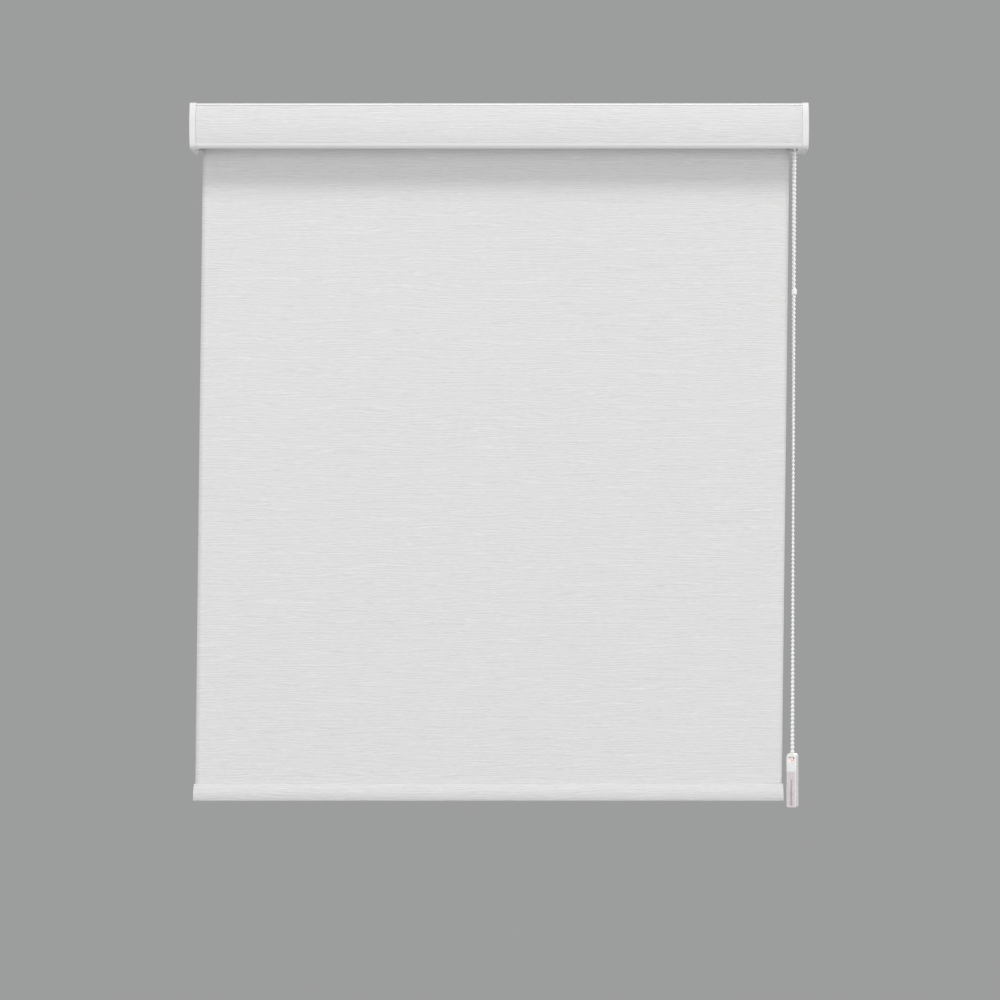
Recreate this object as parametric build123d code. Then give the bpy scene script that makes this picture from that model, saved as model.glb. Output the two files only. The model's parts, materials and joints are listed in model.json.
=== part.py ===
"""Cassette roller blind with a bead-chain control, in millimetres.

X runs along the blind, the room is at -Y, the wall at +Y, and +Z is up. The origin is the
centre of the four ceiling-fixing holes, on the top faces of the two mounting clips. The blind
is modelled fully lowered.
"""
import math
import os

from build123d import *

os.makedirs("parts", exist_ok=True)

# ---- driving dimensions -------------------------------------------------------------------
HALF_WIDTH = 450.0            # end cap face to centre
TOP_Z = -0.1                  # end cap outline
BOTTOM_Z = -67.4
BACK_Y = 30.0
FRONT_TOP_Y = -28.5
FRONT_BULGE_Y = -34.0
FRONT_BOTTOM_Y = -29.0
TOP_CORNER = 2.6               # outline corners at the front
BOTTOM_CORNER = 7.0
BACK_CORNER = 13.0             # rounded lower back corner of the side plate

PLATE = 3.0                   # end cap side wall
RIM_WIDTH = 9.4
RIM_WALL = 1.0
NOTCH_DEPTH = 6.0             # how far the rim's bottom wall is cut back past the rim, for the chain
NOTCH_FRONT_Y = -23.5
NOTCH_CORNER = 4.5
LEFT_FLOOR = (                # left cap's floor in plan: x from the side plate's inner face, and y
    (-0.5, -26.0), (9.9, -26.0), (9.9, -23.5), (6.0, -20.5), (4.8, -15.0),
    (4.2, 6.0), (3.0, 13.0), (1.0, 16.0), (-0.5, 16.0))
FIT = 0.1                     # clearance of a push fit

FASCIA_WALL = 1.2
INSERT_RECESS = 1.0
INSERT_THICKNESS = 0.55
INSERT_Z = (-59.1, -5.4)
RECESS_Z = (-59.4, -3.9)
INSERT_X = (-440.4, 439.0)

SHEET = 1.5                   # extrusion walls and clip steel
HEADRAIL_TOP = -1.9
WEB_Z = (-7.0, -5.5)
HEADRAIL_FRONT = -24.0
HEADRAIL_SKIRT = -59.4
BOSSES = ((25.6, -9.9), (-20.8, -9.9), (25.6, -52.0))
BOSS_RADIUS = 3.2
SCREW_RADIUS = 1.7
SCREW_HEAD = 3.4

CLIP_X = 320.0
CLIP_WIDTH = 40.0
CLIP_HOLE_Y = 9.0
CLIP_HOLE_Z = -15.0
CLIP_HOLE_RADIUS = 2.5
CLIP_FRONT_STEM_Y = -14.0      # front hook, set back under a long lip of the headrail
CLIP_STANDOFF = 3.0           # room for the heads of the wall screws

ROLLER_Z = -32.0
TUBE_RADIUS = 19.0
TUBE_WALL = 1.4
TUBE_X = (-438.0, 426.5)
TUBE_RIBS = 3
RIB_WIDTH = 2.0
RIB_HEIGHT = 1.5

FABRIC = 0.45
WOUND_RADIUS = 20.0
FABRIC_X = (-437.9, 426.4)    # edges of the fabric where it leaves the cassette
FABRIC_Y = (20.3, 20.3 + FABRIC)
FABRIC_LEAN = 11.15 / 927.0    # sideways lean of the hanging fabric per unit of drop

RAIL_TOP = -994.2
RAIL_HEIGHT = 25.0
RAIL_DEPTH = 14.0
RAIL_MID_Y = 20.5
RAIL_OVERHANG = 2.9            # how far the rail stands out past each edge of the fabric
RAIL_CAP = 2.6
RAIL_CAP_FLARE = 1.3           # how much farther out a rail cap is at its bottom than at its top
WRAP = 0.5
RAIL_WALL = 1.2
SPLINE_RADIUS = 2.4
SPLINE_DROP = 5.0             # spline axis below the rail's top

BEAD = 4.5
BEAD_PITCH = 6.0
SPROCKET_BEADS = 15
SPROCKET_X = 431.8
SPROCKET_WIDTH = 9.0
SPROCKET_RADIUS = 17.2
POST_RADIUS = 7.0
GUARD_INNER = 19.2
GUARD_WALL = 1.6
GUARD_X = (428.0, 439.5)
HOUSING_X = (439.6, 447.0)
APRON_X = 435.2                # inner edge of the housing's bottom plate, beside the chain

WEIGHT_X = 429.0
WEIGHT_TOP = -947.8
WEIGHT_HEIGHT = 79.4
WEIGHT_WIDTH = 15.0
WEIGHT_DEPTH = 14.4
WEIGHT_WALL = 1.3
WEIGHT_SHOULDER = 5.5
WEIGHT_FOOT_CORNER = 3.2
WEIGHT_TURN = -21.0           # how far the hanging weight is turned about the vertical
LOOP_RADIUS = 3.4
LOOP_Z = -954.4
CONNECTOR_Z = -273.4
CONNECTOR_RADIUS = 3.95
CONNECTOR_LENGTH = 8.0

PITCH_RADIUS = SPROCKET_BEADS * BEAD_PITCH / (2 * math.pi)
BEAD_RADIUS = BEAD / 2


# ---- helpers ------------------------------------------------------------------------------
def block(x, y, z):
    """A box given by its (low, high) pairs."""
    size = (x[1] - x[0], y[1] - y[0], z[1] - z[0])
    return Pos((x[0] + x[1]) / 2, (y[0] + y[1]) / 2, (z[0] + z[1]) / 2) * Box(*size)


def strip(y, z):
    """A rectangle of a cross-section, whose first axis is Y and second is Z."""
    return Pos((y[0] + y[1]) / 2, (z[0] + z[1]) / 2) * Rectangle(y[1] - y[0], z[1] - z[0])


def along_x(section, x):
    """A YZ cross-section run from x[0] to x[1]."""
    return Pos(x[0], 0, 0) * extrude(Plane.YZ * section, amount=x[1] - x[0])


def rod(x, radius, y=0.0, z=ROLLER_Z):
    """A round bar along X."""
    return along_x(Pos(y, z) * Circle(radius), x)


def sleeve(x, outer, inner, y=0.0, z=ROLLER_Z):
    """A round tube along X."""
    return rod(x, outer, y, z) - rod(x, inner, y, z)


def cone_x(x, radii, y, z):
    """A cone along X, radii[0] at x[0] and radii[1] at x[1]."""
    cone = Cone(radii[0], radii[1], x[1] - x[0])
    return Pos((x[0] + x[1]) / 2, y, z) * Rot(0, 90, 0) * cone


def right_hand(solid):
    return mirror(solid, about=Plane.YZ)


def save(name, shape):
    export_step(shape, "parts/" + name + ".step")


# ---- cassette -----------------------------------------------------------------------------
def cassette_outline(inset=0.0):
    """The end cap's profile: flat top, bottom and back, and a convex front."""
    middle = (FRONT_BULGE_Y, (TOP_Z + BOTTOM_Z) / 2)
    front = ThreePointArc((FRONT_TOP_Y, TOP_Z), middle, (FRONT_BOTTOM_Y, BOTTOM_Z))
    corners = [(FRONT_BOTTOM_Y, BOTTOM_Z), (BACK_Y, BOTTOM_Z), (BACK_Y, TOP_Z), (FRONT_TOP_Y, TOP_Z)]
    face = make_face([front, Polyline(*corners)])
    top_front = face.vertices().sort_by(Axis.X)[:2].sort_by(Axis.Y)[1]
    face = fillet(top_front, TOP_CORNER)
    bottom_front = face.vertices().sort_by(Axis.Y)[:2].sort_by(Axis.X)[0]
    face = fillet(bottom_front, BOTTOM_CORNER)
    return offset(face, amount=-inset) if inset else face


def headrail():
    skirt = strip((BACK_Y - SHEET, BACK_Y), (HEADRAIL_SKIRT, HEADRAIL_TOP))
    web = strip((HEADRAIL_FRONT, BACK_Y), WEB_Z)
    upstand = strip((HEADRAIL_FRONT, HEADRAIL_FRONT + SHEET), (WEB_Z[0], HEADRAIL_TOP))
    lip_z = (HEADRAIL_TOP - 1.4, HEADRAIL_TOP)
    front_lip = strip((HEADRAIL_FRONT, CLIP_FRONT_STEM_Y - 0.3), lip_z)
    rear_lip = strip((BACK_Y - 5.0, BACK_Y), lip_z)
    groove_top = strip((HEADRAIL_FRONT - 2.5, HEADRAIL_FRONT), (-3.6, -2.4))
    groove_floor = strip((HEADRAIL_FRONT - 2.5, HEADRAIL_FRONT), (WEB_Z[0], WEB_Z[0] + 1.2))
    section = skirt + web + upstand + front_lip + rear_lip + groove_top + groove_floor
    for y, z in BOSSES:
        section += Pos(y, z) * Circle(BOSS_RADIUS)
    for y, z in BOSSES:
        section -= Pos(y, z) * Circle(SCREW_RADIUS + 0.05)
        toward_roller = math.degrees(math.atan2(ROLLER_Z - z, -y))
        section -= Pos(y, z) * Rot(0, 0, toward_roller) * Pos(2.5, 0) * Rectangle(5.0, 1.4)
    reach = HALF_WIDTH - PLATE - 0.3
    return along_x(section, (-reach, reach))


def fascia_section():
    inset = RIM_WALL + FIT
    outer = cassette_outline(inset)
    wall = outer - cassette_outline(inset + INSERT_RECESS + FASCIA_WALL)
    front = wall & strip((-50.0, HEADRAIL_FRONT - 2.6), (-80.0, 10.0))
    bottom_return = wall & strip((-50.0, -23.0), (-80.0, BOTTOM_Z + 6.0))
    stiffener = strip((-24.2, -23.0), (BOTTOM_Z + inset, BOTTOM_Z + 6.5))
    tongue = strip((-27.2, HEADRAIL_FRONT - 0.4), (-5.2, -4.2))
    section = front + bottom_return + stiffener + tongue
    recess = outer - cassette_outline(inset + INSERT_RECESS)
    section -= recess & strip((-50.0, 0.0), RECESS_Z)
    undercut = cassette_outline(inset + 0.4) - cassette_outline(inset + INSERT_RECESS)
    section -= undercut & strip((-50.0, 0.0), (RECESS_Z[0] - 0.9, RECESS_Z[1] + 0.5))
    return section


def fascia():
    reach = HALF_WIDTH - PLATE - 0.3
    return along_x(fascia_section(), (-reach, reach))


def fascia_insert():
    back = RIM_WALL + FIT + INSERT_RECESS
    layer = cassette_outline(back - INSERT_THICKNESS) - cassette_outline(back)
    return along_x(layer & strip((-50.0, 0.0), INSERT_Z), INSERT_X)


def end_cap(extra_holes=()):
    """The left end cap: a side plate with a rim that wraps the ends of the extrusions."""
    outer_x = -HALF_WIDTH
    plate_x = outer_x + PLATE
    rim_x = outer_x + RIM_WIDTH
    cap = along_x(cassette_outline(), (outer_x, rim_x))
    back_edge = cap.edges().filter_by(Axis.X).sort_by(lambda e: e.center().Y - e.center().Z)[-1]
    cap = fillet(back_edge, BACK_CORNER)
    outer_edges = cap.faces().sort_by(Axis.X)[0].edges()
    cap = fillet(outer_edges, 1.2)
    hollow = cassette_outline(RIM_WALL) + strip((0.0, BACK_Y + 1.0), (BOTTOM_Z + RIM_WALL, TOP_Z - RIM_WALL))
    cap -= along_x(hollow, (plate_x, rim_x + 1.0))
    notch_y = (NOTCH_FRONT_Y, BACK_Y + 1.0)
    notch = block((plate_x, rim_x + NOTCH_DEPTH), notch_y, (BOTTOM_Z - 1.0, BOTTOM_Z + RIM_WALL))
    corner = notch.edges().filter_by(Axis.Z).sort_by(Axis.X)[:2].sort_by(Axis.Y)[0]
    cap -= fillet(corner, NOTCH_CORNER)
    for y, z in tuple(BOSSES) + tuple(extra_holes):
        cap -= rod((outer_x - 1.0, plate_x + 1.0), SCREW_RADIUS + 0.2, y, z)
        cap -= cone_x((outer_x - 0.01, outer_x + 1.9), (SCREW_HEAD + 0.2, SCREW_RADIUS + 0.2), y, z)
    return cap


def end_cap_left():
    plate_x = -HALF_WIDTH + PLATE
    floor_plan = make_face(Polyline(*LEFT_FLOOR, close=True))
    floor = Pos(plate_x, 0, BOTTOM_Z) * extrude(floor_plan, amount=RIM_WALL)
    hub = rod((plate_x - 0.5, plate_x + 5.0), 9.0)
    ribs = block((plate_x - 0.5, plate_x + 3.0), (-1.0, 1.0), (ROLLER_Z - 27.0, ROLLER_Z + 20.0))
    ribs += block((plate_x - 0.5, plate_x + 3.0), (-24.0, 21.0), (ROLLER_Z - 1.0, ROLLER_Z + 1.0))
    return end_cap() + floor + hub + ribs - rod((plate_x - 1.5, plate_x + 6.0), 6.0)


HOUSING_SCREWS = ((-14.0, -51.0), (14.0, -51.0))


def end_cap_right():
    return right_hand(end_cap(HOUSING_SCREWS))


def countersunk_screw(y, z, length, face_x=-HALF_WIDTH):
    """A screw driven along +X into the left end cap, its head flush in the countersink."""
    head = cone_x((face_x + 0.15, face_x + 1.9), (SCREW_HEAD, SCREW_RADIUS), y, z)
    shank = rod((face_x + 1.85, face_x + length - 2.0), SCREW_RADIUS, y, z)
    point = cone_x((face_x + length - 2.02, face_x + length), (SCREW_RADIUS, 0.4), y, z)
    screw = head + shank + point
    for turn in (0, 90):
        slot = Box(1.6, 3.4, 0.7)
        screw -= Pos(face_x + 0.2, y, z) * Rot(turn, 0, 0) * slot
    return screw


def end_cap_screws():
    return Compound([countersunk_screw(y, z, 18.0) for y, z in BOSSES])


def mounting_clip():
    half = CLIP_WIDTH / 2
    wall_y = BACK_Y + CLIP_STANDOFF + SHEET
    stem_y = CLIP_FRONT_STEM_Y
    clip = block((-half, half), (stem_y - 3.0, wall_y), (-SHEET, 0.0))
    back_leg = block((-half, half), (wall_y - SHEET, wall_y), (-28.0, 0.0))
    clip += back_leg
    outer_bend = clip.edges().filter_by(Axis.X).sort_by(lambda e: e.center().Y + e.center().Z)[-1]
    clip = fillet(outer_bend, 1.2)
    foot_z = (-4.9, -3.7)
    front_hook = ((stem_y, stem_y + SHEET), (stem_y - 3.0, stem_y + SHEET))
    for stem, foot in (front_hook, ((22.6, 24.1), (22.6, 27.6))):
        clip += block((-12.0, 12.0), stem, (foot_z[0], -SHEET))
        clip += block((-12.0, 12.0), foot, foot_z)
    for y in (-CLIP_HOLE_Y, CLIP_HOLE_Y):
        clip -= Pos(0, y, 0) * Cylinder(CLIP_HOLE_RADIUS, 8.0)
    clip -= Pos(0, wall_y, CLIP_HOLE_Z) * Rot(90, 0, 0) * Cylinder(CLIP_HOLE_RADIUS, 8.0)
    corners = clip.edges().filter_by(Axis.Y).sort_by(Axis.Z)[:2]
    return fillet(corners, 4.0)


# ---- control side -------------------------------------------------------------------------
def clutch_housing():
    disc = Pos(0, ROLLER_Z) * Circle(22.5)
    tower = strip((-18.0, 14.0), (BOTTOM_Z + 0.05, ROLLER_Z))
    apron = block((APRON_X, HOUSING_X[1]), (-22.8, 14.0), (BOTTOM_Z + 0.05, BOTTOM_Z + 2.4))
    uprights = apron.edges().filter_by(Axis.Z).sort_by(lambda e: e.center().Y - e.center().X)
    apron = fillet(uprights[-1], 3.5)
    uprights = apron.edges().filter_by(Axis.Z).sort_by(lambda e: e.center().Y - e.center().X)
    housing = along_x(disc + tower, HOUSING_X) + fillet(uprights[0], 5.0)
    housing -= rod((HOUSING_X[0] - 1.0, HOUSING_X[1] + 1.0), POST_RADIUS + 0.03)
    for y, z in HOUSING_SCREWS:
        housing -= rod((HOUSING_X[1] - 6.6, HOUSING_X[1] + 1.0), SCREW_RADIUS + 0.05, y, z)
    return housing


def clutch_housing_screws():
    return right_hand(Compound([countersunk_screw(y, z, 9.0) for y, z in HOUSING_SCREWS]))


def clutch_post():
    post = rod((399.2, HOUSING_X[1] - 0.05), POST_RADIUS)
    post += rod((388.0, 399.4), 4.0)
    post = chamfer(post.faces().sort_by(Axis.X)[0].edges(), 0.5)
    return post - rod((380.0, 402.0), 1.65)


def post_retainer():
    screw = rod((385.6, 387.7), 5.5) + rod((387.6, 399.5), 1.6)
    for turn in (0, 90):
        screw -= Pos(385.6, 0, ROLLER_Z) * Rot(turn, 0, 0) * Box(2.0, 5.0, 0.9)
    return screw


def chain_guard():
    outer = GUARD_INNER + GUARD_WALL
    arch = Pos(0, ROLLER_Z) * Circle(outer) + strip((-outer, outer), (BOTTOM_Z + 2.6, ROLLER_Z))
    opening = Pos(0, ROLLER_Z) * Circle(GUARD_INNER) + strip((-GUARD_INNER, GUARD_INNER), (-80.0, ROLLER_Z))
    guard = along_x(arch - opening, GUARD_X)
    mouth_edges = guard.edges().filter_by(Axis.X).sort_by(Axis.Z)[:4]
    return fillet(mouth_edges, 0.6)


def sprocket():
    half = SPROCKET_WIDTH / 2
    wheel = rod((SPROCKET_X - half, SPROCKET_X + half), SPROCKET_RADIUS)
    wheel = fillet(wheel.edges().filter_by(GeomType.CIRCLE), 0.6)
    groove_radius = BEAD_RADIUS + 0.2
    centre = Pos(SPROCKET_X, 0, ROLLER_Z)
    slot = (SPROCKET_X - groove_radius, SPROCKET_X + groove_radius)
    wheel -= sleeve(slot, SPROCKET_RADIUS + 1.0, PITCH_RADIUS)
    wheel -= centre * Rot(0, 90, 0) * Torus(PITCH_RADIUS, groove_radius)
    for tooth in range(SPROCKET_BEADS):
        angle = math.radians(90.0 + tooth * 360.0 / SPROCKET_BEADS)
        y = PITCH_RADIUS * math.cos(angle)
        z = ROLLER_Z + PITCH_RADIUS * math.sin(angle)
        wheel -= Pos(SPROCKET_X, y, z) * Sphere(BEAD_RADIUS + 0.55)
    dog = sleeve((401.0, SPROCKET_X - half + 0.1), 10.2, 9.0)
    for side in (-1, 1):
        wheel += dog & block((400.0, 430.0), (-4.5, 4.5), sorted((ROLLER_Z, ROLLER_Z + side * 12.0)))
    bore = rod((SPROCKET_X - half - 1.0, SPROCKET_X + half + 1.0), POST_RADIUS + 0.06)
    wheel += rod((SPROCKET_X + half - 0.1, HOUSING_X[0] - 0.3), 10.0)
    return wheel - bore - rod((SPROCKET_X, HOUSING_X[0]), POST_RADIUS + 0.06)


def coil(x, mean_radius, wire_radius, turns):
    """A round-wire helical spring about the roller's axis."""
    height = x[1] - x[0] - 2 * wire_radius
    path = Helix(pitch=height / turns, height=height, radius=mean_radius)
    wire = Plane(origin=path @ 0, z_dir=path % 0) * Circle(wire_radius)
    spring = sweep(wire, path=path, is_frenet=True)
    return Pos(x[0] + wire_radius, 0, ROLLER_Z) * Rot(0, 90, 0) * spring


def wrap_spring(x):
    return coil(x, POST_RADIUS + 0.75, 0.55, 7)


def keyed_plug(x, radius):
    """A round plug with grooves for the ribs inside the tube."""
    plug = rod(x, radius)
    for rib in range(TUBE_RIBS):
        turn = 90.0 + rib * 360.0 / TUBE_RIBS
        groove = block((x[0] - 1.0, x[1] + 1.0), (radius - RIB_HEIGHT - 0.3, radius + 1.0),
                       (-RIB_WIDTH / 2 - 0.2, RIB_WIDTH / 2 + 0.2))
        plug -= Pos(0, 0, ROLLER_Z) * Rot(turn, 0, 0) * groove
    return plug


def drive_adapter():
    radius = TUBE_RADIUS - TUBE_WALL - 0.1
    adapter = keyed_plug((384.0, TUBE_X[1] + 0.1), radius)
    adapter += rod((TUBE_X[1] + 0.05, TUBE_X[1] + 0.6), TUBE_RADIUS + 0.4)
    adapter -= rod((398.6, TUBE_X[1] + 2.0), 11.0)
    adapter -= rod((380.0, 400.0), 4.08)
    return adapter - rod((380.0, 388.0), 6.4)


# ---- roller -------------------------------------------------------------------------------
def roller_tube():
    inner = TUBE_RADIUS - TUBE_WALL
    tube = sleeve(TUBE_X, TUBE_RADIUS, inner)
    for rib in range(TUBE_RIBS):
        turn = 90.0 + rib * 360.0 / TUBE_RIBS
        bar = block(TUBE_X, (inner - RIB_HEIGHT, inner + 0.4), (-RIB_WIDTH / 2, RIB_WIDTH / 2))
        tube += Pos(0, 0, ROLLER_Z) * Rot(turn, 0, 0) * bar
    return tube


def wound_fabric():
    return sleeve(FABRIC_X, WOUND_RADIUS, TUBE_RADIUS)


IDLE_FLANGE_X = (-439.4, -438.0)
SPRING_ROOM_X = (-431.0, -403.0)
PIN_RADIUS = 3.0
TAIL_RADIUS = 2.3
COLLAR_RADIUS = 4.9


def idle_plug():
    plug = keyed_plug((IDLE_FLANGE_X[1] - 0.1, -400.0), TUBE_RADIUS - TUBE_WALL - 0.1)
    plug += rod(IDLE_FLANGE_X, TUBE_RADIUS + 0.4)
    plug -= rod((-445.0, SPRING_ROOM_X[0] + 1.0), PIN_RADIUS + 0.06)
    plug -= rod(SPRING_ROOM_X, COLLAR_RADIUS + 0.3)
    return plug - rod((SPRING_ROOM_X[1] - 1.0, -399.0), TAIL_RADIUS + 0.2)


def idle_pin():
    pin = rod((-446.6, SPRING_ROOM_X[0] + 2.1), PIN_RADIUS)
    pin = chamfer(pin.faces().sort_by(Axis.X)[0].edges(), 0.6)
    pin += rod((SPRING_ROOM_X[0] + 0.1, SPRING_ROOM_X[0] + 2.1), COLLAR_RADIUS)
    return pin + rod((SPRING_ROOM_X[0] + 2.0, -401.0), TAIL_RADIUS)


def idle_spring():
    return coil((SPRING_ROOM_X[0] + 2.2, SPRING_ROOM_X[1] - 0.1), 3.9, 0.45, 8)


def idle_bush():
    plate_x = -HALF_WIDTH + PLATE
    bush = sleeve((plate_x - 1.4, plate_x + 5.6), 5.95, PIN_RADIUS + 0.05)
    return bush + sleeve((plate_x + 5.1, plate_x + 5.6), 7.5, PIN_RADIUS + 0.05)


# ---- fabric and bottom rail ---------------------------------------------------------------
def lean_at(z):
    """How far the hanging fabric has moved towards +X at a height."""
    return (z - BOTTOM_Z) * FABRIC_LEAN


def fabric_panel():
    low = RAIL_TOP - SPLINE_DROP - 1.8
    corners = [(FABRIC_X[0] + lean_at(ROLLER_Z), ROLLER_Z), (FABRIC_X[1] + lean_at(ROLLER_Z), ROLLER_Z),
               (FABRIC_X[1] + lean_at(low), low), (FABRIC_X[0] + lean_at(low), low)]
    sheet = make_face(Polyline(*corners, close=True))
    return Pos(0, FABRIC_Y[1], 0) * extrude(Plane.XZ * sheet, amount=FABRIC)


def rail_outline(inset=0.0):
    """Slim rounded section: convex front and back, narrow flats at the top and bottom."""
    top = RAIL_TOP
    low = RAIL_TOP - RAIL_HEIGHT
    middle = (top + low) / 2
    half = RAIL_DEPTH / 2
    front = ThreePointArc((RAIL_MID_Y - 3.2, top), (RAIL_MID_Y - half, middle), (RAIL_MID_Y - 3.6, low))
    back = ThreePointArc((RAIL_MID_Y + 3.6, low), (RAIL_MID_Y + half, middle), (RAIL_MID_Y + 3.2, top))
    floor = Line((RAIL_MID_Y - 3.6, low), (RAIL_MID_Y + 3.6, low))
    roof = Line((RAIL_MID_Y + 3.2, top), (RAIL_MID_Y - 3.2, top))
    face = make_face([front, floor, back, roof])
    face = fillet(face.vertices(), 2.4)
    return offset(face, amount=-inset) if inset else face


RAIL_LEAN = lean_at(RAIL_TOP)
RAIL_X = (FABRIC_X[0] + RAIL_LEAN - RAIL_OVERHANG, FABRIC_X[1] + RAIL_LEAN + RAIL_OVERHANG)
RAIL_BODY_X = (RAIL_X[0] + RAIL_CAP, RAIL_X[1] - RAIL_CAP)
SPLINE_Z = RAIL_TOP - SPLINE_DROP
FABRIC_SLOT = strip((FABRIC_Y[0] - 0.15, FABRIC_Y[1] + 0.15), (SPLINE_Z - 2.2, RAIL_TOP + 2.0))


def bottom_rail_wrap():
    skin = rail_outline() - rail_outline(WRAP)
    return along_x(skin - FABRIC_SLOT, RAIL_BODY_X)


def bottom_rail():
    outer = rail_outline(WRAP + 0.02)
    hollow = rail_outline(WRAP + 0.02 + RAIL_WALL)
    channel = Pos(RAIL_MID_Y, SPLINE_Z) * Circle(SPLINE_RADIUS + 0.1)
    channel_wall = (Pos(RAIL_MID_Y, SPLINE_Z) * Circle(SPLINE_RADIUS + 1.1)) & outer
    neck = strip((RAIL_MID_Y - 1.4, RAIL_MID_Y + 1.4), (SPLINE_Z, RAIL_TOP - 1.0)) & outer
    section = outer - hollow + channel_wall + neck - channel - FABRIC_SLOT
    return along_x(section, RAIL_BODY_X)


def bottom_rail_spline():
    rod_section = Pos(RAIL_MID_Y, SPLINE_Z) * Circle(SPLINE_RADIUS) - FABRIC_SLOT
    return along_x(rod_section, RAIL_BODY_X)


def bottom_rail_cap(x_outer, x_inner):
    inward = 1.0 if x_outer < x_inner else -1.0
    cap = along_x(rail_outline(), sorted((x_outer, x_inner)))
    slant = math.degrees(math.atan2(RAIL_CAP_FLARE, RAIL_HEIGHT))
    beyond = Pos(-inward * 10.0, 0, 0) * Box(20.0, 40.0, 80.0)
    cap -= Pos(x_outer, RAIL_MID_Y, RAIL_TOP - RAIL_HEIGHT) * Rot(0, inward * slant, 0) * beyond
    outer_face = cap.faces().sort_by(Axis.X)[0 if inward > 0 else -1]
    cap = fillet(outer_face.edges(), 0.7)
    reach = inward * 6.0
    peg_x = sorted((x_inner - reach / 20, x_inner + reach))
    for z in (SPLINE_Z - 7.5, SPLINE_Z - 14.5):
        cap += rod(peg_x, 2.2, RAIL_MID_Y, z)
    return cap


# ---- chain --------------------------------------------------------------------------------
def beside_weight(offset_y, z):
    """A point beside the weight's vertical axis, in the plane of the chain's loop."""
    turn = math.radians(WEIGHT_TURN)
    return Vector(WEIGHT_X - offset_y * math.sin(turn), offset_y * math.cos(turn), z)


def strand_ends(side):
    """The two ends of a strand's centreline, side -1 in front and +1 behind."""
    top = Vector(SPROCKET_X, side * PITCH_RADIUS, ROLLER_Z)
    return top, beside_weight(side * LOOP_RADIUS, LOOP_Z)


def strand(side):
    top, low = strand_ends(side)
    drop = low - top
    tube = extrude(Plane(origin=top, z_dir=drop) * Circle(BEAD_RADIUS), amount=drop.length)
    return tube & block((400.0, 460.0), (-40.0, 40.0), (LOOP_Z, ROLLER_Z))


def half_ring(radius):
    """Half of a ring of chain in the local XZ plane, its ends on the X axis and its bend at +Z."""
    ring = Rot(90, 0, 0) * Torus(radius, BEAD_RADIUS)
    reach = radius + BEAD_RADIUS + 1.0
    return ring & block((-reach, reach), (-reach, reach), (0.0, reach))


def chain_sprocket_wrap():
    return Pos(SPROCKET_X, 0, ROLLER_Z) * Rot(0, 0, 90) * half_ring(PITCH_RADIUS)


def chain_weight_loop():
    return Pos(WEIGHT_X, 0, LOOP_Z) * Rot(0, 0, 90 + WEIGHT_TURN) * Rot(180, 0, 0) * half_ring(LOOP_RADIUS)


def chain_connector():
    top, low = strand_ends(-1)
    share = (ROLLER_Z - CONNECTOR_Z) / (ROLLER_Z - LOOP_Z)
    place = Plane(origin=top + (low - top) * share, z_dir=top - low, x_dir=(1, 0, 0))
    barrel = Cylinder(CONNECTOR_RADIUS, CONNECTOR_LENGTH)
    barrel = fillet(barrel.edges().filter_by(GeomType.CIRCLE), 1.2)
    barrel -= Cylinder(BEAD_RADIUS + 0.2, CONNECTOR_LENGTH + 2.0)
    barrel -= Pos(0, 4.0, 0) * Box(2.2, 6.0, CONNECTOR_LENGTH + 2.0)
    return place * barrel


# ---- chain weight -------------------------------------------------------------------------
WEIGHT_FLOOR = WEIGHT_TOP - WEIGHT_HEIGHT
WINDOW_Z = (-961.4, -952.5)
PANEL_Z = (-1024.0, -974.6)
SLOT_Z = (-1024.4, -986.4)
RIBS = 9


def on_weight(solid):
    """From the weight's own frame, whose Z axis is the row's height, to its hanging place."""
    return Pos(WEIGHT_X, 0, 0) * Rot(0, 0, WEIGHT_TURN) * solid


def weight_case():
    """Both shells as one hollow case, front at -Y of its own frame."""
    x = (-WEIGHT_WIDTH / 2, WEIGHT_WIDTH / 2)
    y = (-WEIGHT_DEPTH / 2, WEIGHT_DEPTH / 2)
    case = block(x, y, (WEIGHT_FLOOR, WEIGHT_TOP))
    across = case.edges().filter_by(Axis.Y).sort_by(Axis.Z)
    case = fillet(across[:2], WEIGHT_FOOT_CORNER)
    across = case.edges().filter_by(Axis.Y).sort_by(Axis.Z)
    case = fillet(across[-2:], WEIGHT_SHOULDER)
    faces = case.faces().sort_by(Axis.Y)
    case = fillet(faces[0].edges() + faces[-1].edges(), 1.6)
    inside_x = (x[0] + WEIGHT_WALL + 0.6, x[1] - WEIGHT_WALL - 0.6)
    inside_y = (y[0] + WEIGHT_WALL, y[1] - WEIGHT_WALL)
    room = block(inside_x, inside_y, (WEIGHT_FLOOR + WEIGHT_WALL, WEIGHT_TOP - WEIGHT_WALL))
    shoulders = room.edges().filter_by(Axis.Y).sort_by(Axis.Z)[-2:]
    case -= fillet(shoulders, WEIGHT_SHOULDER - 1.6)
    mouth = block((-2.9, 2.9), (-6.0, 6.0), (WEIGHT_TOP - 4.0, WEIGHT_TOP + 2.0))
    return case - fillet(mouth.edges().filter_by(Axis.Z), 2.5)


def weight_front_face(case):
    """Window, ribbed panel and slot, cut in the front wall."""
    front = -WEIGHT_DEPTH / 2
    window = block((-5.3, 5.3), (front - 1.0, front + WEIGHT_WALL + 0.5), WINDOW_Z)
    case -= fillet(window.edges().filter_by(Axis.Y), 2.6)
    nick_z = (WINDOW_Z[0] - 1.4, WINDOW_Z[0] + 0.5)
    case -= block((-0.9, 0.9), (front - 1.0, front + WEIGHT_WALL + 0.5), nick_z)
    case -= block((-0.6, 0.6), (front - 1.0, front + WEIGHT_WALL + 0.5), SLOT_Z)
    pitch = 10.4 / RIBS
    for rib in range(RIBS):
        x = (rib - (RIBS - 1) / 2) * pitch
        case -= block((x - 0.3, x + 0.3), (front - 1.0, front + 0.45), PANEL_Z)
    return case


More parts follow.
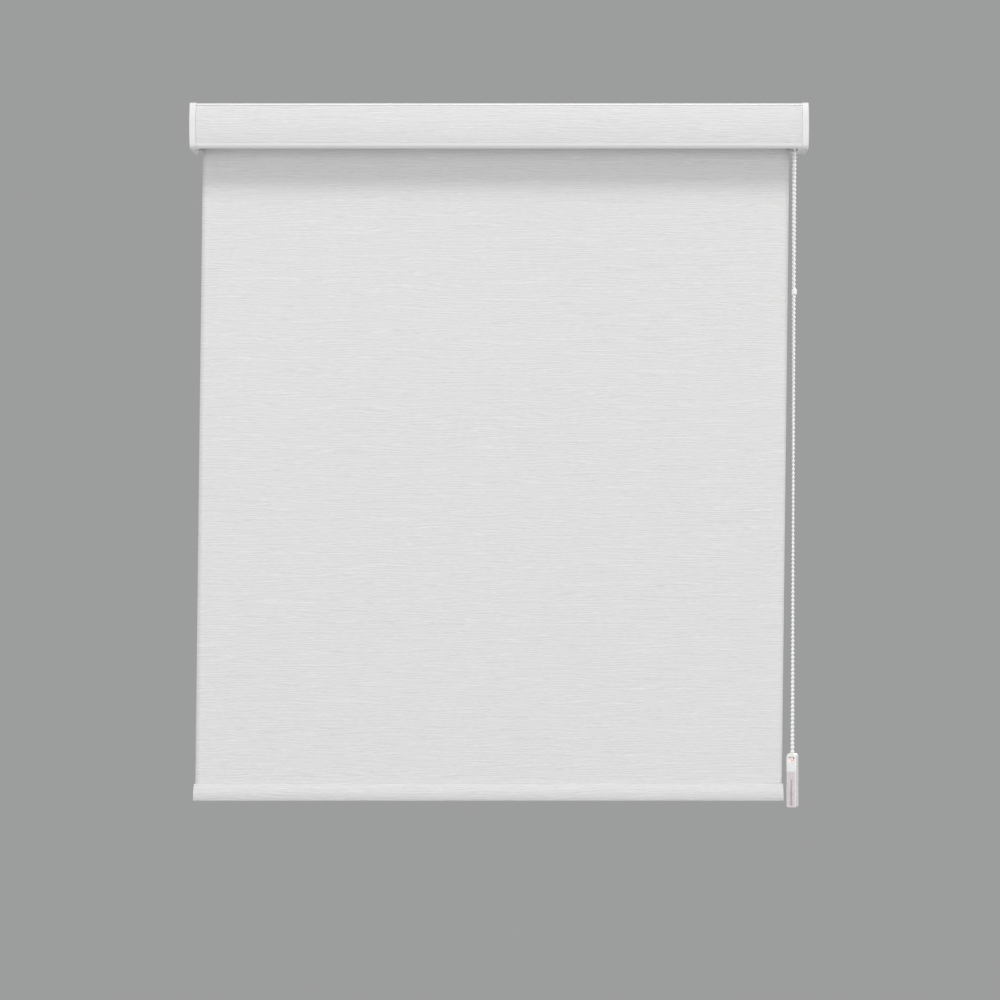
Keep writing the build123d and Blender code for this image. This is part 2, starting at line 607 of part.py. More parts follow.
def weight_shell(side):
    """One half of the case, side -1 in front and +1 behind, parted at the middle plane."""
    case = weight_case()
    if side < 0:
        case = weight_front_face(case)
    half = block((-20.0, 20.0), sorted((side * 0.05, side * 20.0)), (WEIGHT_FLOOR - 5.0, WEIGHT_TOP + 5.0))
    shell = case & half
    socket_x = WEIGHT_WIDTH / 2 - 0.9
    shell -= Pos(0, 0, LOOP_Z) * Rot(0, 90, 0) * Cylinder(1.1 + 0.03, 2 * socket_x)
    return on_weight(shell)


def weight_pin():
    reach = WEIGHT_WIDTH / 2 - 1.0
    return on_weight(Pos(0, 0, LOOP_Z) * Rot(0, 90, 0) * Cylinder(1.1, 2 * reach))


def weight_ballast():
    slug = block((-5.4, 5.4), (-5.7, 5.7), (WEIGHT_FLOOR + WEIGHT_WALL + 0.1, WINDOW_Z[0] - 3.0))
    return on_weight(fillet(slug.edges().filter_by(Axis.Z), 1.6))


# ---- build --------------------------------------------------------------------------------
def main():
    save("headrail", headrail())
    save("fascia", fascia())
    save("fascia_insert", fascia_insert())
    save("end_cap_left", end_cap_left())
    save("end_cap_right", end_cap_right())
    save("end_cap_screws_left", end_cap_screws())
    save("end_cap_screws_right", right_hand(end_cap_screws()))
    clip = mounting_clip()
    save("mounting_clip_left", Pos(-CLIP_X, 0, 0) * clip)
    save("mounting_clip_right", Pos(CLIP_X, 0, 0) * clip)

    save("clutch_housing", clutch_housing())
    save("clutch_housing_screws", clutch_housing_screws())
    save("clutch_post", clutch_post())
    save("post_retainer", post_retainer())
    save("chain_guard", chain_guard())
    save("sprocket", sprocket())
    save("wrap_spring_inner", wrap_spring((402.5, 412.0)))
    save("wrap_spring_outer", wrap_spring((414.0, 423.5)))
    save("drive_adapter", drive_adapter())

    save("roller_tube", roller_tube())
    save("wound_fabric", wound_fabric())
    save("idle_plug", idle_plug())
    save("idle_pin", idle_pin())
    save("idle_spring", idle_spring())
    save("idle_bush", idle_bush())

    save("fabric_panel", fabric_panel())
    save("bottom_rail_wrap", bottom_rail_wrap())
    save("bottom_rail", bottom_rail())
    save("bottom_rail_spline", bottom_rail_spline())
    save("bottom_rail_cap_left", bottom_rail_cap(RAIL_X[0], RAIL_BODY_X[0]))
    save("bottom_rail_cap_right", bottom_rail_cap(RAIL_X[1], RAIL_BODY_X[1]))

    save("chain_front_strand", strand(-1))
    save("chain_rear_strand", strand(1))
    save("chain_sprocket_wrap", chain_sprocket_wrap())
    save("chain_weight_loop", chain_weight_loop())
    save("chain_connector", chain_connector())
    save("weight_front_shell", weight_shell(-1))
    save("weight_rear_shell", weight_shell(1))
    save("weight_pin", weight_pin())
    save("weight_ballast", weight_ballast())


main()
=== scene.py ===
"""Looks of a cassette roller blind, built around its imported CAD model.

Metres. X runs along the blind, the room is at -Y, the wall at +Y and +Z is up. The origin is
the centre of the ceiling fixings. The blind is modelled fully lowered.
"""
import json
import math

import bmesh
import bpy
import numpy as np
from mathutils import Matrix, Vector


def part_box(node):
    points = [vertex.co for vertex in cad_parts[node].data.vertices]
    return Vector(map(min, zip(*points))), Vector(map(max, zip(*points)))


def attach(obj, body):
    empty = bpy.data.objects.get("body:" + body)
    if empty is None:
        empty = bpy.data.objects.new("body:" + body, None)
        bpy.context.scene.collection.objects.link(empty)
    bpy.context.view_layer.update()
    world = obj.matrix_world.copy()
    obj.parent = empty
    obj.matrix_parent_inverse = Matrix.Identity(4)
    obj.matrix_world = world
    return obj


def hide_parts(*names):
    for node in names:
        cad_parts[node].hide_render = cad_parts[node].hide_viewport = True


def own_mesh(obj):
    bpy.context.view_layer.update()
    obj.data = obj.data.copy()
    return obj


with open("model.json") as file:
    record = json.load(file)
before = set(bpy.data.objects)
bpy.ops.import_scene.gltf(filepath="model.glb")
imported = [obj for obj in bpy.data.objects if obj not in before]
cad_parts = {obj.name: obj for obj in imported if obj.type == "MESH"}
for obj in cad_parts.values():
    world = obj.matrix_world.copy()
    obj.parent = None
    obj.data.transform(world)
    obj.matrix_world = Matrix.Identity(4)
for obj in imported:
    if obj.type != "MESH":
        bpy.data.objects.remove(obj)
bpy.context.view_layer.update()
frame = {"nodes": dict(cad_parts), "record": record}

SCENE = bpy.context.scene
slot_of = {part["node"]: part["material_slot"] for part in frame["record"]["subparts"]}

# ---- camera: square on to the blind, a little right of its middle and below it ----------------
CAMERA_PLACE = (0.0899, -3.533, -0.7234)
CAMERA_LENS = 86.8
CAMERA_SHIFT = (-0.061, 0.100)

camera_data = bpy.data.cameras.new("camera")
camera_data.lens = CAMERA_LENS
camera_data.sensor_width = 36.0
camera_data.shift_x, camera_data.shift_y = CAMERA_SHIFT
camera = bpy.data.objects.new("camera", camera_data)
camera.location = CAMERA_PLACE
camera.rotation_euler = (math.radians(90.0), 0.0, 0.0)
SCENE.collection.objects.link(camera)
SCENE.camera = camera

# ---- the bead chain ---------------------------------------------------------------------------
BEAD_RADIUS = 0.00225
BEAD_PITCH = 0.006
NECK_RADIUS = 0.00100
SPROCKET_BEADS = 15
PITCH_RADIUS = SPROCKET_BEADS * BEAD_PITCH / (2 * math.pi)
SPROCKET_CENTRE = Vector((0.4318, 0.0, -0.032))
WEIGHT_X = 0.429
WEIGHT_TURN = math.radians(-21.0)
LOOP_RADIUS = 0.0034
LOOP_Z = -0.9544
LEAD_IN = 12 * BEAD_RADIUS    # straight length kept beside the sprocket and the weight
AROUND = 14                   # vertices round a bead
BEAD_RINGS = 4                # rings on each half of a bead, beside its middle one


def mesh_object(name, verts, faces, smooth=True):
    """A new object in the scene from vertices and faces."""
    mesh = bpy.data.meshes.new(name)
    mesh.from_pydata([tuple(v) for v in verts], [], [tuple(f) for f in faces])
    mesh.validate()
    mesh.update()
    if smooth:
        mesh.shade_smooth()
    else:
        mesh.shade_flat()
    obj = bpy.data.objects.new(name, mesh)
    SCENE.collection.objects.link(obj)
    return obj


def face_outwards(obj):
    shape = bmesh.new()
    shape.from_mesh(obj.data)
    bmesh.ops.recalc_face_normals(shape, faces=shape.faces)
    shape.to_mesh(obj.data)
    shape.free()


def spline_points(route):
    """Points along the smooth NURBS line of a route."""
    curve = bpy.data.curves.new("route", "CURVE")
    curve.dimensions = "3D"
    curve.resolution_u = 24
    spline = curve.splines.new("NURBS")
    spline.points.add(len(route) - 1)
    for point, place in zip(spline.points, route):
        point.co = (*place, 1.0)
    spline.order_u = 3
    spline.use_endpoint_u = True
    obj = bpy.data.objects.new("route", curve)
    SCENE.collection.objects.link(obj)
    bpy.context.view_layer.update()
    mesh = bpy.data.meshes.new_from_object(obj)
    points = [Vector(v.co) for v in mesh.vertices]
    bpy.data.objects.remove(obj)
    bpy.data.meshes.remove(mesh)
    return points


def walk(points, distance, lengths):
    """The place and direction at a distance along a line of points."""
    i = int(np.clip(np.searchsorted(lengths, distance) - 1, 0, len(points) - 2))
    step = points[i + 1] - points[i]
    share = (distance - lengths[i]) / max(step.length, 1e-9)
    return points[i] + step * share, step.normalized()


def beaded_line(name, points):
    """Moulded beads on a thin cord: one closed surface of revolution along the line."""
    steps = [(b - a).length for a, b in zip(points, points[1:])]
    lengths = np.concatenate([[0.0], np.cumsum(steps)])
    total = lengths[-1]
    count = max(2, round(total / BEAD_PITCH))
    pitch = total / count
    edge = math.acos(NECK_RADIUS / BEAD_RADIUS)
    rings = [(0.0, NECK_RADIUS)]
    for bead in range(count):
        centre = (bead + 0.5) * pitch
        for k in range(-BEAD_RINGS, BEAD_RINGS + 1):
            angle = edge * k / BEAD_RINGS
            rings.append((centre + BEAD_RADIUS * math.sin(angle), BEAD_RADIUS * math.cos(angle)))
    rings.append((total, NECK_RADIUS))
    verts = []
    for distance, radius in rings:
        place, direction = walk(points, distance, lengths)
        across = direction.cross(Vector((1, 0, 0))).normalized()
        upright = across.cross(direction).normalized()
        for k in range(AROUND):
            angle = 2 * math.pi * k / AROUND
            spoke = across * math.cos(angle) + upright * math.sin(angle)
            verts.append(place + spoke * radius)
    faces = []
    for ring in range(len(rings) - 1):
        for k in range(AROUND):
            a = ring * AROUND + k
            b = ring * AROUND + (k + 1) % AROUND
            faces.append((a, b, b + AROUND, a + AROUND))
    faces.append(tuple(range(AROUND))[::-1])
    faces.append(tuple(range((len(rings) - 1) * AROUND, len(rings) * AROUND)))
    obj = mesh_object(name, verts, faces)
    face_outwards(obj)
    return obj


def strand_route(side):
    """The front (-1) or rear (+1) strand, from the sprocket down to the weight's pin."""
    top = SPROCKET_CENTRE + Vector((0.0, side * PITCH_RADIUS, 0.0))
    reach = side * LOOP_RADIUS
    low = Vector((WEIGHT_X - reach * math.sin(WEIGHT_TURN), reach * math.cos(WEIGHT_TURN), LOOP_Z))
    down = (low - top).normalized()
    return [top, top + down * LEAD_IN, low - down * LEAD_IN, low]


def arc_points(centre, radius, start, end, turn=0.0, steps=40):
    """Points of an arc in the YZ plane, that plane turned about the vertical."""
    points = []
    for k in range(steps + 1):
        angle = start + (end - start) * k / steps
        flat = radius * math.cos(angle)
        place = (-flat * math.sin(turn), flat * math.cos(turn), radius * math.sin(angle))
        points.append(centre + Vector(place))
    return points


def stand_for(piece, node, body):
    """Puts a piece on a body in place of a CAD node."""
    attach(piece, body)
    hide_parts(node)


chain_pieces = []
over_bend = arc_points(SPROCKET_CENTRE, PITCH_RADIUS, math.pi, 0.0)
under_bend = arc_points(Vector((WEIGHT_X, 0.0, LOOP_Z)), LOOP_RADIUS, math.pi, 2 * math.pi, WEIGHT_TURN)
over = beaded_line("sprocket_beads", over_bend)
under = beaded_line("weight_beads", under_bend)
for piece, node in ((over, "chain_sprocket_wrap"), (under, "chain_weight_loop")):
    stand_for(piece, node, "chain")
    chain_pieces.append(piece)

hung = ("chain_connector", "weight_front_shell", "weight_rear_shell", "weight_pin", "weight_ballast")
on_front_strand = [frame["nodes"][n] for n in hung] + [under]
for strand_name, node, strand_side, carried in (
    ("front_beads", "chain_front_strand", -1, on_front_strand),
    ("rear_beads", "chain_rear_strand", 1, [over]),
):
    line = spline_points(strand_route(strand_side))
    beads = beaded_line(strand_name, line)
    stand_for(beads, node, "chain")
    chain_pieces.append(beads)


# ---- material helpers -------------------------------------------------------------------------
class Shader:
    """A principled material and the few node calls that the finishes below share."""

    def __init__(self, name, colour, roughness, metallic=0.0, **sockets):
        self.material = bpy.data.materials.new(name)
        self.material.use_nodes = True
        self.tree = self.material.node_tree
        self.surface = self.tree.nodes["Principled BSDF"]
        self.surface.inputs["Base Color"].default_value = (*colour, 1.0)
        self.surface.inputs["Roughness"].default_value = roughness
        self.surface.inputs["Metallic"].default_value = metallic
        for socket, value in sockets.items():
            self.surface.inputs[socket.replace("_", " ")].default_value = value
        self.place = self.node("ShaderNodeTexCoord").outputs["Object"]
        self.bumps = None

    def node(self, kind, **settings):
        made = self.tree.nodes.new(kind)
        for key, value in settings.items():
            setattr(made, key, value)
        return made

    def link(self, source, target):
        self.tree.links.new(source, target)

    def scaled(self, scale):
        mapping = self.node("ShaderNodeMapping")
        mapping.inputs["Scale"].default_value = scale
        self.link(self.place, mapping.inputs["Vector"])
        return mapping.outputs["Vector"]

    def noise(self, scale, detail=2.0):
        """Noise whose cells per metre are given along X, Y and Z."""
        made = self.node("ShaderNodeTexNoise")
        made.inputs["Scale"].default_value = 1.0
        made.inputs["Detail"].default_value = detail
        self.link(self.scaled(scale), made.inputs["Vector"])
        return made.outputs["Fac"]

    def separate(self, axis):
        """One coordinate of the surface point, in metres."""
        made = self.node("ShaderNodeSeparateXYZ")
        self.link(self.place, made.inputs["Vector"])
        return made.outputs[axis]

    def ribbing(self, spacing, wander):
        """Thick weft yarns about a spacing apart, which waver, come and go along the cloth."""
        phase = self.math("DIVIDE", self.separate("Z"), spacing)
        waver = self.noise((9.0, 60.0, wander), detail=1.0)
        phase = self.math("ADD", phase, self.math("MULTIPLY", waver, 4.0))
        line = self.math("SINE", self.math("MULTIPLY", phase, 2 * math.pi))
        presence = self.noise((85.0, 90.0, 2.6 * wander), detail=2.0)
        return self.math("MULTIPLY", line, self.ranged(presence, 0.05, 1.0, 0.38, 0.66))

    def ranged(self, value, low, high, start=0.3, stop=0.7):
        """A value that runs from low to high while the given one runs from start to stop."""
        made = self.node("ShaderNodeMapRange")
        made.inputs["From Min"].default_value = start
        made.inputs["From Max"].default_value = stop
        made.inputs["To Min"].default_value = low
        made.inputs["To Max"].default_value = high
        self.link(value, made.inputs["Value"])
        return made.outputs["Result"]

    def math(self, operation, a, b=None):
        made = self.node("ShaderNodeMath", operation=operation)
        for socket, value in zip(made.inputs, (a, b)):
            if isinstance(value, (int, float)):
                socket.default_value = value
            elif value is not None:
                self.link(value, socket)
        return made.outputs["Value"]

    def mixed(self, share, first, second):
        """A colour between two colours, or between a colour and another mix."""
        made = self.node("ShaderNodeMix", data_type="RGBA")
        self.link(share, made.inputs["Factor"])
        for socket, value in (("A", first), ("B", second)):
            target = [s for s in made.inputs if s.name == socket and s.type == "RGBA"][0]
            if isinstance(value, tuple):
                target.default_value = (*value, 1.0)
            else:
                self.link(value, target)
        return [s for s in made.outputs if s.type == "RGBA"][0]

    def colour(self, value):
        self.link(value, self.surface.inputs["Base Color"])

    def rough(self, value):
        self.link(value, self.surface.inputs["Roughness"])

    def bump(self, height, depth, strength=1.0):
        """Adds relief of the given depth in metres on top of what is there."""
        made = self.node("ShaderNodeBump")
        made.inputs["Strength"].default_value = strength
        made.inputs["Distance"].default_value = depth
        self.link(height, made.inputs["Height"])
        if self.bumps is not None:
            self.link(self.bumps, made.inputs["Normal"])
        self.bumps = made.outputs["Normal"]
        self.link(self.bumps, self.surface.inputs["Normal"])


WEFT_PITCH = 0.00055
WARP_PITCH = 0.00060


def woven(name, dark, light):
    """Plain-woven blind cloth: fine yarns and long flat horizontal slubs."""
    cloth = Shader(name, light, 0.85, Sheen_Weight=0.10, Sheen_Roughness=0.5, Specular_IOR_Level=0.25)
    slubs = cloth.noise((95.0, 90.0, 1250.0), detail=0.6)
    ribs = cloth.math("ADD", cloth.ribbing(0.0031, 70.0), cloth.ribbing(0.0042, 95.0))
    drift = cloth.noise((2.0, 3.0, 5.0), detail=1.0)
    weft = cloth.math("SINE", cloth.math("MULTIPLY", cloth.separate("Z"), 2 * math.pi / WEFT_PITCH))
    warp = cloth.math("SINE", cloth.math("MULTIPLY", cloth.separate("X"), 2 * math.pi / WARP_PITCH))
    weave = cloth.math("MULTIPLY", weft, warp)
    relief = cloth.math("ADD", cloth.ranged(slubs, 0.0, 0.55), cloth.math("MULTIPLY", ribs, 0.55))
    tone = cloth.mixed(cloth.ranged(relief, 0.0, 1.0, -0.45, 1.05), dark, light)
    soft = tuple(c * 0.97 for c in light)
    tone = cloth.mixed(cloth.ranged(drift, 0.0, 0.10), tone, soft)
    cloth.colour(tone)
    cloth.bump(relief, 0.00030, 0.60)
    cloth.bump(weave, 0.00004, 0.35)
    return cloth.material


def moulded(name, colour, roughness, gloss=0.5, **sockets):
    """Injection-moulded plastic: faint texture, slightly uneven gloss."""
    plastic = Shader(name, colour, roughness, Specular_IOR_Level=gloss, **sockets)
    mottle = plastic.noise((35.0, 35.0, 35.0), detail=3.0)
    grain = plastic.noise((2600.0, 2600.0, 2600.0), detail=1.0)
    dull = tuple(c * 0.955 for c in colour)
    plastic.colour(plastic.mixed(plastic.ranged(mottle, 0.0, 1.0), dull, colour))
    plastic.rough(plastic.ranged(mottle, roughness - 0.05, roughness + 0.07))
    plastic.bump(grain, 0.00002, 0.5)
    return plastic


def coated(name, colour):
    """Powder-coated aluminium extrusion."""
    paint = Shader(name, colour, 0.36, Specular_IOR_Level=0.5, Coat_Weight=0.08)
    peel = paint.noise((700.0, 700.0, 700.0), detail=2.0)
    cloud = paint.noise((6.0, 40.0, 40.0), detail=2.0)
    dull = tuple(c * 0.965 for c in colour)
    paint.colour(paint.mixed(paint.ranged(cloud, 0.0, 1.0), dull, colour))
    paint.rough(paint.ranged(cloud, 0.32, 0.42))
    paint.bump(peel, 0.00003, 0.5)
    return paint.material


def extruded(name, colour, roughness):
    """Bare aluminium with die lines along X."""
    metal = Shader(name, colour, roughness, metallic=1.0)
    lines = metal.noise((2.0, 2500.0, 2500.0), detail=2.0)
    cloud = metal.noise((12.0, 30.0, 30.0), detail=2.0)
    dull = tuple(c * 0.88 for c in colour)
    metal.colour(metal.mixed(metal.ranged(lines, 0.0, 1.0), dull, colour))
    metal.rough(metal.ranged(cloud, roughness - 0.06, roughness + 0.1))
    metal.bump(lines, 0.00002, 0.5)
    return metal.material


def plated(name, colour, roughness, cell):
    """Steel with a spangled zinc or drawn surface, cells per metre."""
    metal = Shader(name, colour, roughness, metallic=1.0)
    cells = metal.node("ShaderNodeTexVoronoi")
    cells.inputs["Scale"].default_value = 1.0
    metal.link(metal.scaled((cell, cell, cell)), cells.inputs["Vector"])
    tint = metal.node("ShaderNodeRGBToBW")
    metal.link(cells.outputs["Color"], tint.inputs["Color"])
    dull = tuple(c * 0.78 for c in colour)
    metal.colour(metal.mixed(tint.outputs["Val"], dull, colour))
    metal.rough(metal.ranged(tint.outputs["Val"], roughness - 0.08, roughness + 0.12, 0.0, 1.0))
    scratches = metal.noise((900.0, 900.0, 60.0), detail=3.0)
    metal.bump(scratches, 0.00002, 0.4)
    return metal.material


CLOTH_DARK = (0.680, 0.681, 0.684)
CLOTH_LIGHT = (0.808, 0.808, 0.810)
WHITE = (0.785, 0.785, 0.783)

cloth = woven("blind_cloth", CLOTH_DARK, CLOTH_LIGHT)
white_plastic = moulded("white_plastic", WHITE, 0.38).material
finishes = {
    "white_aluminium": coated("white_coated_aluminium", (0.80, 0.80, 0.80)),
    "mill_aluminium": extruded("bare_aluminium", (0.72, 0.73, 0.74), 0.34),
    "white_plastic": white_plastic,
    "bearing_plastic": moulded("bearing_plastic", (0.52, 0.53, 0.54), 0.42).material,
    "blind_fabric": cloth,
    "chain_plastic": moulded("chain_plastic", (0.95, 0.94, 0.935), 0.28, Subsurface_Weight=0.05).material,
    "screw_steel": plated("zinc_screw", (0.66, 0.66, 0.67), 0.30, 1800.0),
    "spring_steel": plated("spring_wire", (0.42, 0.42, 0.43), 0.32, 2600.0),
    "clip_steel": plated("galvanised_clip", (0.68, 0.69, 0.70), 0.38, 240.0),
    "ballast_iron": plated("ballast_iron", (0.36, 0.30, 0.28), 0.55, 900.0),
}


PANEL_TOP = -0.9742           # top of the ribbed panel
PANEL_EDGE = 0.0006           # height over which the panel's colour fades in
PANEL_DEPTH = (0.0056, 0.0060)     # the ribs start this far in front of the weight's axis
# Inner faces within these two bounds get painted light: a pale pink colour and a faint glow.
GLOW_LINING_DEPTH = (0.0059, 0.0062)    # inner faces lie nearer to the axis than this
GLOW_LINING_WIDTH = (0.0060, 0.0064)


def weight_finish():
    """Milky plastic whose lower ribbed panel lets the slug inside show as a pinkish grey; the inner faces
    behind its window get painted light, a pale pink colour and a faint glow.
    """
    case = moulded("weight_plastic", (0.86, 0.85, 0.855), 0.26, Subsurface_Weight=0.08)

    def product(a, b):
        return case.math("MULTIPLY", a, b)

    front_x, front_y = math.sin(WEIGHT_TURN), -math.cos(WEIGHT_TURN)
    from_axis = case.math("SUBTRACT", case.separate("X"), WEIGHT_X)
    depth = case.math("ADD", product(from_axis, front_x), product(case.separate("Y"), front_y))
    across = case.math("SUBTRACT", product(case.separate("Y"), front_x), product(from_axis, front_y))
    depth = case.math("ABSOLUTE", depth)
    across = case.math("ABSOLUTE", across)
    outside = case.ranged(depth, 0.0, 1.0, *PANEL_DEPTH)
    low_down = case.ranged(case.separate("Z"), 1.0, 0.0, PANEL_TOP - PANEL_EDGE, PANEL_TOP + PANEL_EDGE)
    near_middle = case.ranged(across, 1.0, 0.0, *GLOW_LINING_WIDTH)
    # Painted light on the inner faces behind the window: a pale pink colour and a faint glow, standing in
    # for light coming through the milky shell.
    painted_glow_lining = product(case.ranged(depth, 1.0, 0.0, *GLOW_LINING_DEPTH), near_middle)
    streak = case.noise((900.0, 900.0, 25.0), detail=2.0)
    panel = case.mixed(case.ranged(streak, 0.0, 1.0), (0.69, 0.62, 0.64), (0.84, 0.78, 0.80))
    outer = case.mixed(product(low_down, outside), (0.90, 0.895, 0.895), panel)
    # Painted light: the inner faces are painted pale pink here, and made to glow faintly below.
    case.colour(case.mixed(painted_glow_lining, outer, (0.92, 0.84, 0.83)))
    case.surface.inputs["Emission Color"].default_value = (1.0, 0.87, 0.86, 1.0)
    case.link(product(painted_glow_lining, 0.30), case.surface.inputs["Emission Strength"])
    return case.material


finishes["weight_plastic"] = weight_finish()

for node_name, node_object in frame["nodes"].items():
    node_object.data.materials.clear()
    node_object.data.materials.append(finishes[slot_of[node_name]])

for piece in chain_pieces:
    piece.data.materials.append(finishes["chain_plastic"])


# ---- cloth pieces -----------------------------------------------------------------------------
CLOTH_THICKNESS = 0.00045
FABRIC_LEAN = 0.01115 / 0.927      # sideways lean of the hanging fabric per unit of drop
FABRIC_WIDTH = 0.8643
CASSETTE_BOTTOM = -0.0674
PANEL_ROWS, PANEL_COLUMNS = 141, 121
LONG_WAVE, SHORT_WAVE = 0.00045, 0.00022
EDGE_CURL, EDGE_REACH = 0.00030, 0.02      # the curl's reach is a share of the width
HELD_TOP, FREE_DROP = 0.06, 0.88           # shares of the drop: held flat at the top, and free


def closed_sheet(name, points, thickness):
    """A sheet with thickness from a grid of mid-surface points, shape (rows, columns, 3)."""
    rows, columns, _ = points.shape
    across = np.gradient(points, axis=1)
    down = np.gradient(points, axis=0)
    normal = np.cross(across, down)
    normal /= np.linalg.norm(normal, axis=2, keepdims=True)
    front = points + normal * thickness / 2
    back = points - normal * thickness / 2
    verts = np.concatenate([front.reshape(-1, 3), back.reshape(-1, 3)])
    total = rows * columns
    faces = []
    for i in range(rows - 1):
        for j in range(columns - 1):
            a = i * columns + j
            b, c, d = a + 1, a + columns + 1, a + columns
            faces.append((a, b, c, d))
            faces.append((a + total, d + total, c + total, b + total))
    rim = [(0, j) for j in range(columns)] + [(i, columns - 1) for i in range(1, rows)]
    rim += [(rows - 1, j) for j in range(columns - 2, -1, -1)] + [(i, 0) for i in range(rows - 2, 0, -1)]
    loop = [i * columns + j for i, j in rim]
    for a, b in zip(loop, loop[1:] + loop[:1]):
        faces.append((a, a + total, b + total, b))
    obj = mesh_object(name, verts, faces)
    face_outwards(obj)
    return obj


def lean_at(z):
    """How far the fabric has moved sideways at a height."""
    return (z - CASSETTE_BOTTOM) * FABRIC_LEAN


def hanging_cloth():
    """The fabric panel, flat between its side edges apart from the slightest waves."""
    low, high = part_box("fabric_panel")
    left = high.x - lean_at(high.z) - FABRIC_WIDTH
    middle = (low.y + high.y) / 2
    across, down = np.meshgrid(np.linspace(0.0, 1.0, PANEL_COLUMNS), np.linspace(0.0, 1.0, PANEL_ROWS))
    z = high.z + (low.z - high.z) * down
    x = left + FABRIC_WIDTH * across + lean_at(z)
    free = np.sin(np.pi * np.clip((down - HELD_TOP) / FREE_DROP, 0.0, 1.0)) ** 2
    wave = LONG_WAVE * np.sin(2 * np.pi * (1.15 * across + 0.08))
    wave += SHORT_WAVE * np.sin(2 * np.pi * (2.7 * across + 0.4 * down))
    edge = EDGE_CURL * (np.exp(-across / EDGE_REACH) + np.exp(-(1 - across) / EDGE_REACH))
    y = middle - free * (wave + edge)
    sheet = closed_sheet("fabric_cloth", np.stack([x, y, z], axis=2), CLOTH_THICKNESS)
    return sheet, high.z - low.z


panel, panel_drop = hanging_cloth()
panel.data.materials.append(cloth)
stand_for(panel, "fabric_panel", "bottom_rail")
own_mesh(panel)


FACET_X = 0.012
FACET_Z = 0.003


def fine_copy(name, node):
    """A copy of a CAD skin cut into short facets, for cloth that lies on a hard section."""
    low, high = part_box(node)
    source = frame["nodes"][node]
    obj = bpy.data.objects.new(name, source.data.copy())
    SCENE.collection.objects.link(obj)
    shape = bmesh.new()
    shape.from_mesh(obj.data)
    bmesh.ops.remove_doubles(shape, verts=shape.verts, dist=1e-6)
    cuts = [(Vector((x, 0, 0)), Vector((1, 0, 0))) for x in np.arange(low.x + FACET_X, high.x, FACET_X)]
    cuts += [(Vector((0, 0, z)), Vector((0, 0, 1))) for z in np.arange(low.z + FACET_Z, high.z, FACET_Z)]
    for place, normal in cuts:
        bmesh.ops.bisect_plane(shape, geom=shape.verts[:] + shape.edges[:] + shape.faces[:],
                               plane_co=place, plane_no=normal, dist=1e-7)
    shape.to_mesh(obj.data)
    shape.free()
    obj.data.materials.clear()
    obj.data.materials.append(cloth)
    return obj


insert = fine_copy("fascia_cloth", "fascia_insert")
stand_for(insert, "fascia_insert", "cassette")

skin = fine_copy("rail_cloth", "bottom_rail_wrap")
stand_for(skin, "bottom_rail_wrap", "bottom_rail")


WOUND_TURNS = 1.35
WOUND_RADII = (0.01930, 0.01985)      # of its inner end and its outer end
WOUND_ROWS, WOUND_COLUMNS = 150, 60


def wound_cloth():
    """The turns that stay on the tube: one sheet wound in a spiral, its last end at the back."""
    low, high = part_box("wound_fabric")
    centre_z = (low.z + high.z) / 2
    angles = np.linspace(-WOUND_TURNS * 2 * math.pi, 0.0, WOUND_ROWS)
    radii = np.linspace(*WOUND_RADII, WOUND_ROWS)
    x = np.linspace(low.x, high.x, WOUND_COLUMNS)
    grid = np.zeros((WOUND_ROWS, WOUND_COLUMNS, 3))
    grid[:, :, 0] = x[None, :]
    grid[:, :, 1] = (radii * np.cos(angles))[:, None]
    grid[:, :, 2] = centre_z + (radii * np.sin(angles))[:, None]
    length = float(WOUND_TURNS * 2 * math.pi * sum(WOUND_RADII) / 2)
    return closed_sheet("wound_cloth", grid, CLOTH_THICKNESS * 0.8), high.x - low.x, length


wound, wound_width, wound_length = wound_cloth()
wound.data.materials.append(cloth)
stand_for(wound, "wound_fabric", "roller")


def pressed_spring():
    """A copy of the spring behind the idle pin, put on the roller in place of its CAD node."""
    source = frame["nodes"]["idle_spring"]
    obj = bpy.data.objects.new("pin_spring", source.data.copy())
    obj.matrix_world = source.matrix_world.copy()
    SCENE.collection.objects.link(obj)
    stand_for(obj, "idle_spring", "roller")
    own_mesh(obj)


pressed_spring()

# ---- floor, world and light -------------------------------------------------------------------
FLOOR_Z = -3.0
FLOOR_REACH = 8.0
FLOOR_SIDES = 96
FADE_REACH = (1.5, 7.5)
BACKDROP = (0.335, 0.337, 0.338)
FLOOR_PALE = (0.60, 0.60, 0.595)
FLOOR_EDGE = (0.374, 0.375, 0.376)      # reads as the backdrop, so that the floor's rim doesn't show


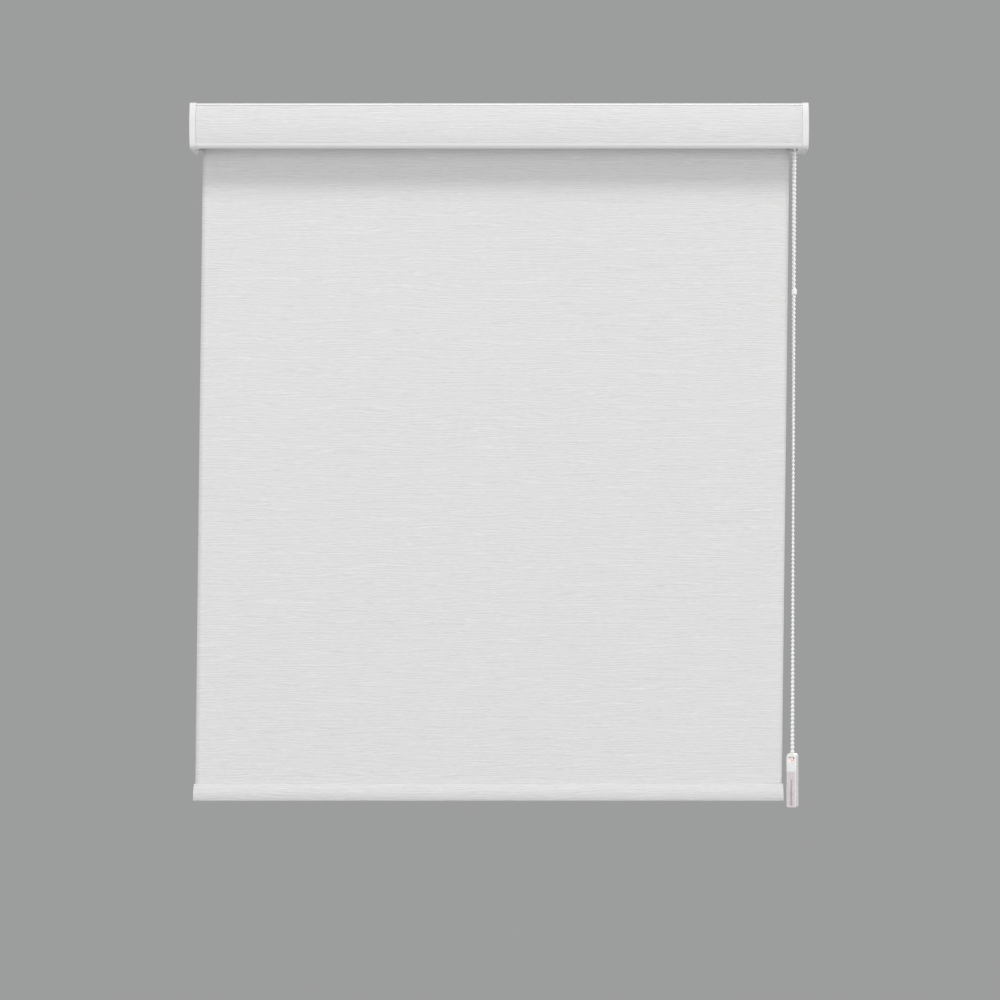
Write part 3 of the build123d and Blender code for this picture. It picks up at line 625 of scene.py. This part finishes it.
def pale_floor():
    """A round floor whose colour fades towards its rim."""
    angles = [2 * math.pi * k / FLOOR_SIDES for k in range(FLOOR_SIDES)]
    rim = [(FLOOR_REACH * math.cos(a), FLOOR_REACH * math.sin(a), FLOOR_Z) for a in angles]
    floor = mesh_object("floor", rim, [tuple(range(FLOOR_SIDES))], smooth=False)
    ground = Shader("pale_floor", FLOOR_PALE, 0.9, Specular_IOR_Level=0.0)
    speck = ground.noise((14.0, 14.0, 14.0), detail=3.0)
    dull = tuple(c * 0.97 for c in FLOOR_PALE)
    pale = ground.mixed(ground.ranged(speck, 0.0, 1.0), dull, FLOOR_PALE)
    reach = ground.node("ShaderNodeVectorMath", operation="LENGTH")
    ground.link(ground.scaled((1.0, 1.0, 0.0)), reach.inputs[0])
    fade = ground.ranged(reach.outputs["Value"], 0.0, 1.0, *FADE_REACH)
    ground.colour(ground.mixed(fade, pale, FLOOR_EDGE))
    floor.data.materials.append(ground.material)


pale_floor()


def studio_world():
    """A pale sky that lights the blind, seen by the camera as a plain grey backdrop."""
    world = bpy.data.worlds.new("studio")
    SCENE.world = world
    world.use_nodes = True
    tree = world.node_tree
    ambient = tree.nodes["Background"]
    ambient.inputs["Color"].default_value = (0.985, 0.988, 1.0, 1.0)
    ambient.inputs["Strength"].default_value = 0.44
    seen = tree.nodes.new("ShaderNodeBackground")
    seen.inputs["Color"].default_value = (*BACKDROP, 1.0)
    seen.inputs["Strength"].default_value = 1.0
    ray = tree.nodes.new("ShaderNodeLightPath")
    choose = tree.nodes.new("ShaderNodeMixShader")
    tree.links.new(ray.outputs["Is Camera Ray"], choose.inputs["Fac"])
    tree.links.new(ambient.outputs["Background"], choose.inputs[1])
    tree.links.new(seen.outputs["Background"], choose.inputs[2])
    tree.links.new(choose.outputs["Shader"], tree.nodes["World Output"].inputs["Surface"])


studio_world()


def sun(name, towards, power, angle, colour=(1.0, 1.0, 0.985)):
    """A broad soft light shining along a direction."""
    data = bpy.data.lights.new(name, "SUN")
    data.energy = power
    data.angle = math.radians(angle)
    data.color = colour
    lamp = bpy.data.objects.new(name, data)
    lamp.rotation_euler = Vector(towards).to_track_quat("-Z", "Y").to_euler()
    SCENE.collection.objects.link(lamp)


sun("key", (-0.04, 0.67, -0.742), 1.24, 21.0)
sun("front_fill", (0.05, 1.0, 0.20), 1.27, 50.0)
sun("side_fill", (-1.0, 0.30, 0.0), 0.35, 60.0)
sun("back_fill", (-0.2, -0.85, -0.5), 0.90, 50.0)

SCENE.view_settings.view_transform = "Standard"
